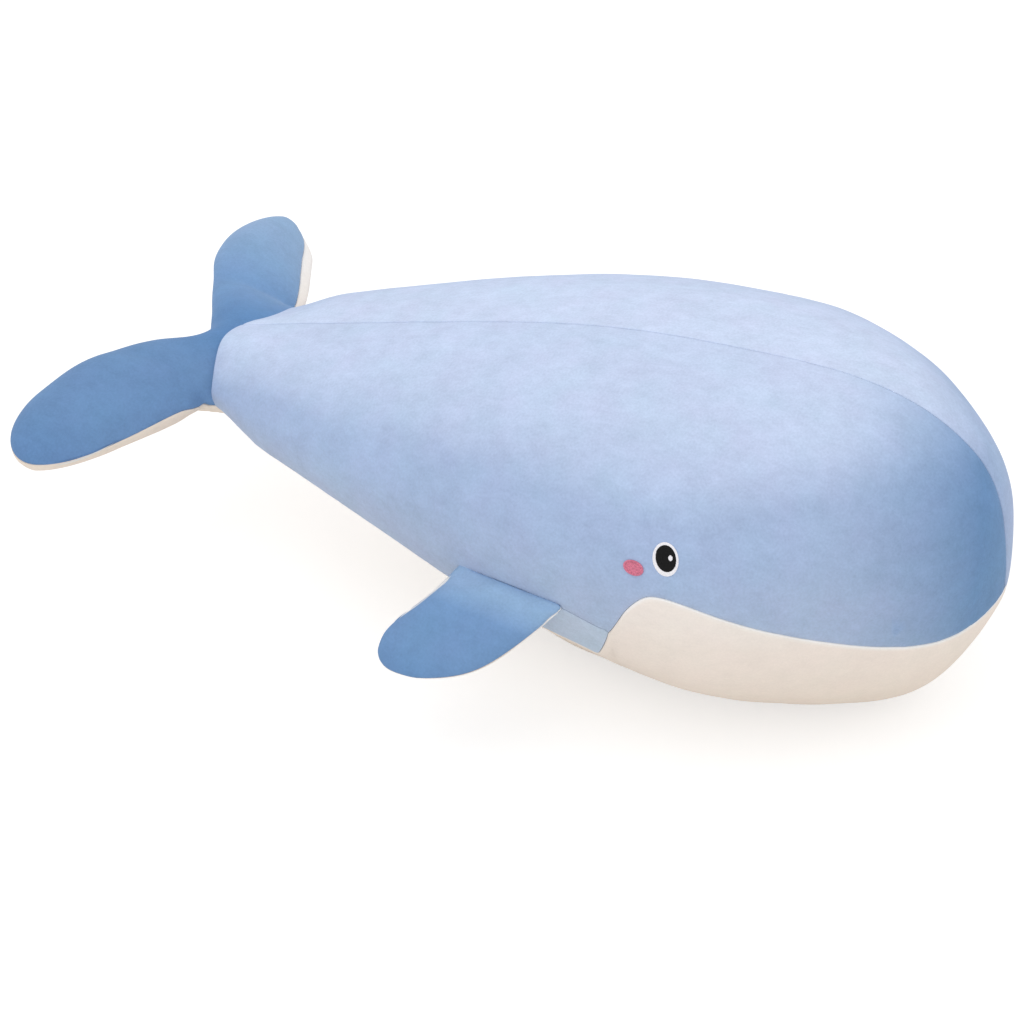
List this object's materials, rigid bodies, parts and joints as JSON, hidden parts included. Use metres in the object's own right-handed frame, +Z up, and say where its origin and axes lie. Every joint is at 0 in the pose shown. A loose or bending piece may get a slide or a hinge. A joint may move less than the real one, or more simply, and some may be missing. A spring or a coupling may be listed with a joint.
{
  "type": "plush whale",
  "caption": "Large stuffed whale pillow with a rounded head, light blue back, cream belly, soft flukes, two flippers and embroidered eyes and cheeks.",
  "frame": {"origin": "under the middle of the whole toy, on the surface it lies on", "axes": "+X from the tail to the nose, +Y to the whale's left, +Z up"},
  "size_m": [0.9503, 0.5914, 0.3473],
  "materials": {
    "light_blue_plush": "short smooth velour pile in light blue, matt, with the mottling of a brushed nap",
    "gusset_plush": "short smooth velour pile in grey-blue, matt",
    "mid_blue_plush": "short smooth velour pile in mid blue, matt, with a nap that shades it",
    "cream_plush": "short smooth velour pile in warm cream, matt",
    "white_thread": "white embroidery thread in satin stitch, soft sheen",
    "black_thread": "black embroidery thread in satin stitch, soft sheen",
    "pink_thread": "pink embroidery thread in satin stitch, soft sheen",
    "fibre_fill": "white polyester fibre fill, fluffy and matt"
  },
  "bodies": {
    "whale_body": {"body_stuffing": "fibre_fill", "right_side_panel": "light_blue_plush", "left_side_panel": "light_blue_plush", "belly_panel": "cream_plush", "right_flank_gusset": "gusset_plush", "left_flank_gusset": "gusset_plush", "right_eye_white": "white_thread", "right_eye_pupil": "black_thread", "right_eye_glint": "white_thread", "right_cheek": "pink_thread", "left_eye_white": "white_thread", "left_eye_pupil": "black_thread", "left_eye_glint": "white_thread", "left_cheek": "pink_thread"},
    "tail": {"tail_stuffing": "fibre_fill", "tail_top": "mid_blue_plush", "tail_underside": "cream_plush"},
    "right_fin": {"right_fin_stuffing": "fibre_fill", "right_fin_top": "mid_blue_plush", "right_fin_underside": "cream_plush"},
    "left_fin": {"left_fin_stuffing": "fibre_fill", "left_fin_top": "mid_blue_plush", "left_fin_underside": "cream_plush"}
  },
  "joints": [
    {"name": "tail_bend", "type": "hinge", "parent": "whale_body", "child": "tail", "pos_m": [-0.32452, 0, 0.175], "axis": [0, 1, 0], "range_deg": [-20, 20], "stiffness_Nm_per_rad": 4},
    {"name": "right_fin_flap", "type": "hinge", "parent": "whale_body", "child": "right_fin", "pos_m": [0.05647, -0.21448, 0.16247], "axis": [-0.983, 0.1761, -0.0517], "range_deg": [-20, 50], "stiffness_Nm_per_rad": 0.8},
    {"name": "left_fin_flap", "type": "hinge", "parent": "whale_body", "child": "left_fin", "pos_m": [0.05647, 0.21448, 0.16247], "axis": [0.983, 0.1761, 0.0517], "range_deg": [-20, 50], "stiffness_Nm_per_rad": 0.8}
  ]
}
